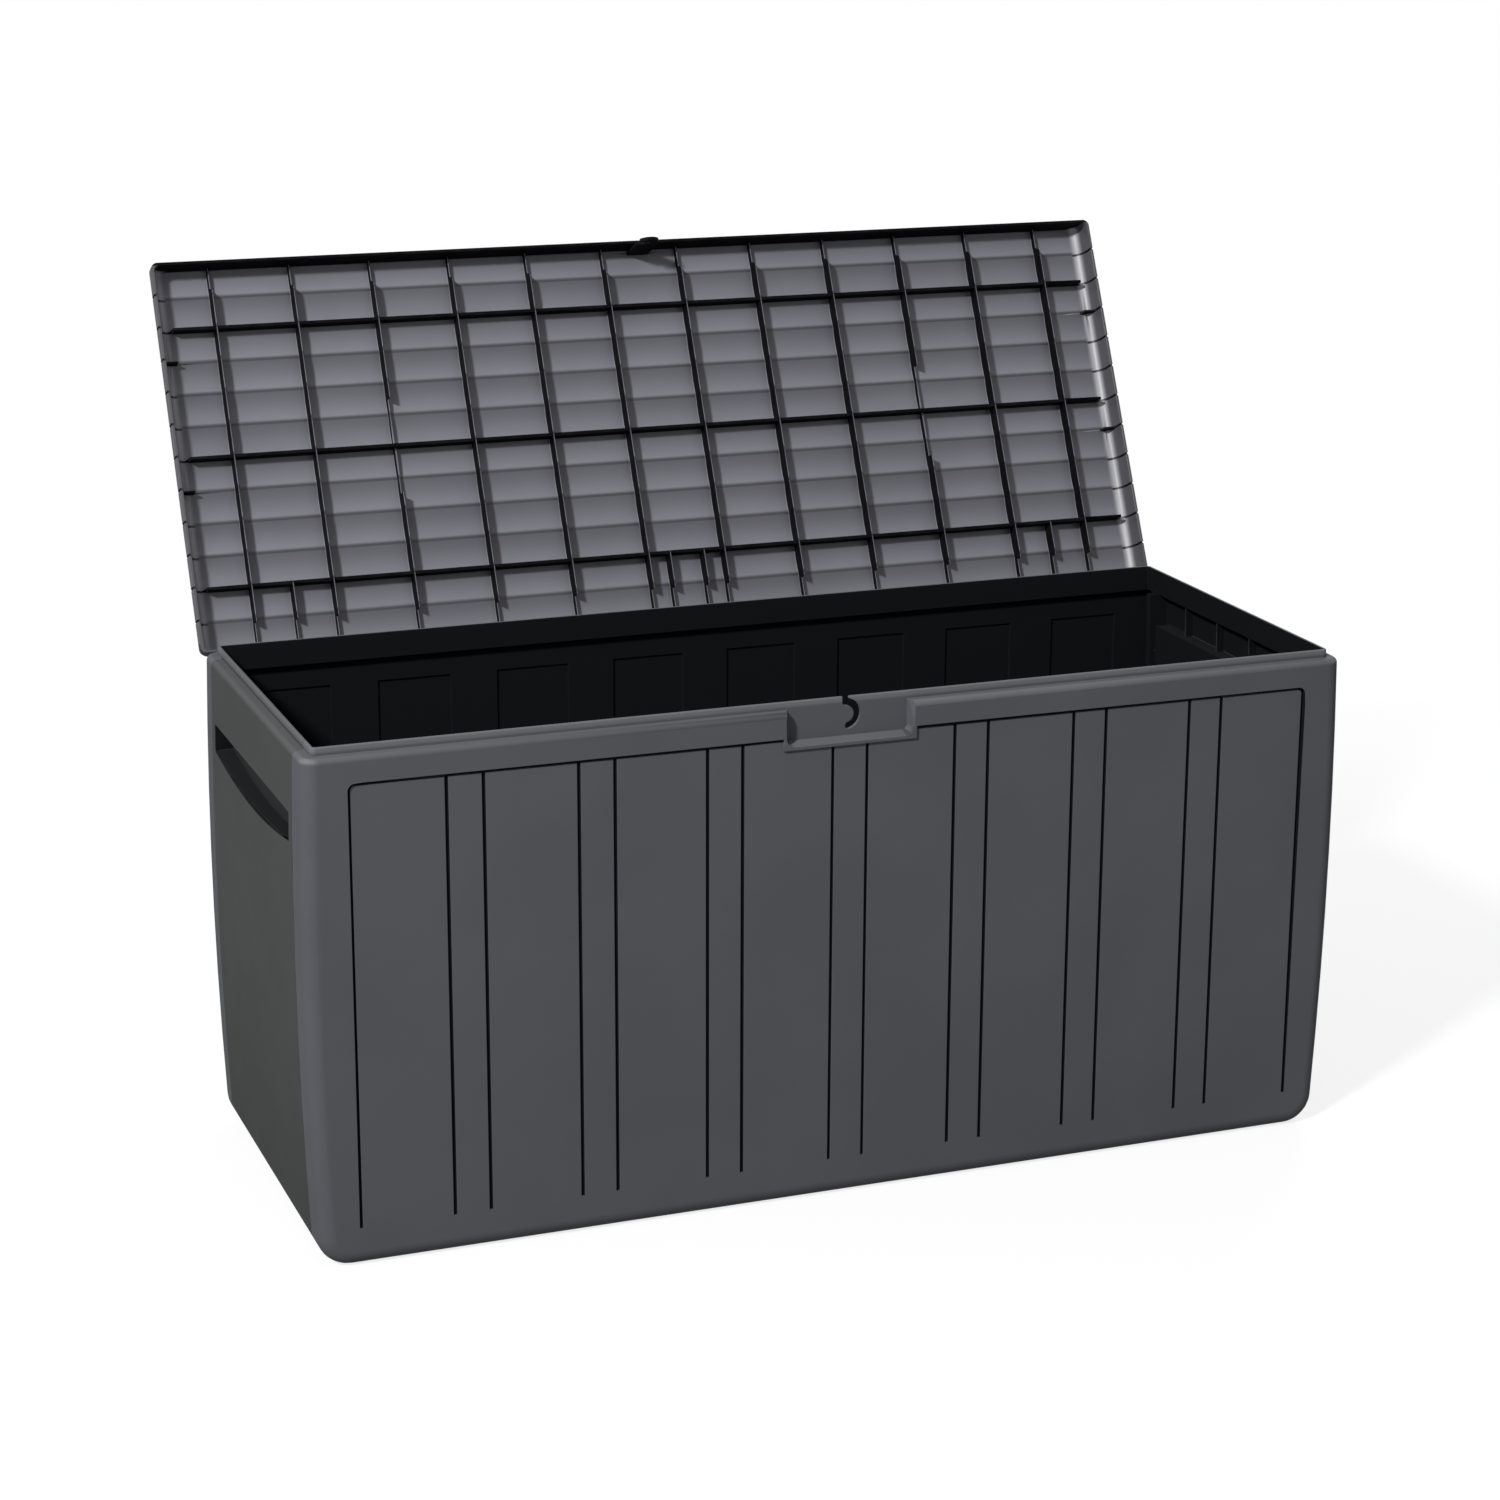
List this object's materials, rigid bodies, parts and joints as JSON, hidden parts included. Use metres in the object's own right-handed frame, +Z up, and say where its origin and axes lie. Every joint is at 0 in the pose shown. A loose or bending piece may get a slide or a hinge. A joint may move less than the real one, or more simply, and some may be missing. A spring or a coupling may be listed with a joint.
{
  "type": "deck storage box",
  "caption": "Free-standing plastic deck storage box with planked walls, recessed hand grips and a ribbed, rear-hinged lid that leans back open and takes a padlock.",
  "frame": {"origin": "on the ground under the middle of the box", "axes": "+X along the length to the right, seen from the front, -Y towards the front, +Z up"},
  "size_m": [1.1784, 0.684, 0.956],
  "materials": {
    "wall_plastic": "fine moulded grain, satin",
    "lid_plastic": "fine moulded grain, satin",
    "floor_plastic": "matt",
    "pin_plastic": "smooth",
    "screw_steel": "zinc plated"
  },
  "bodies": {
    "box": {"floor_panel": "floor_plastic", "front_panel": "wall_plastic", "rear_panel": "wall_plastic", "left_side_panel": "wall_plastic", "right_side_panel": "wall_plastic", "hinge_pin_left": "pin_plastic", "hinge_pin_centre": "pin_plastic", "hinge_pin_right": "pin_plastic", "front_left_corner_screws": "screw_steel", "front_right_corner_screws": "screw_steel", "rear_left_corner_screws": "screw_steel", "rear_right_corner_screws": "screw_steel", "floor_screws": "screw_steel"},
    "lid": {"lid": "lid_plastic"}
  },
  "joints": [
    {"name": "lid_hinge", "type": "hinge", "parent": "box", "child": "lid", "pos_m": [0, 0.229, 0.543], "axis": [1, 0, 0], "range_deg": [0, 116]}
  ]
}
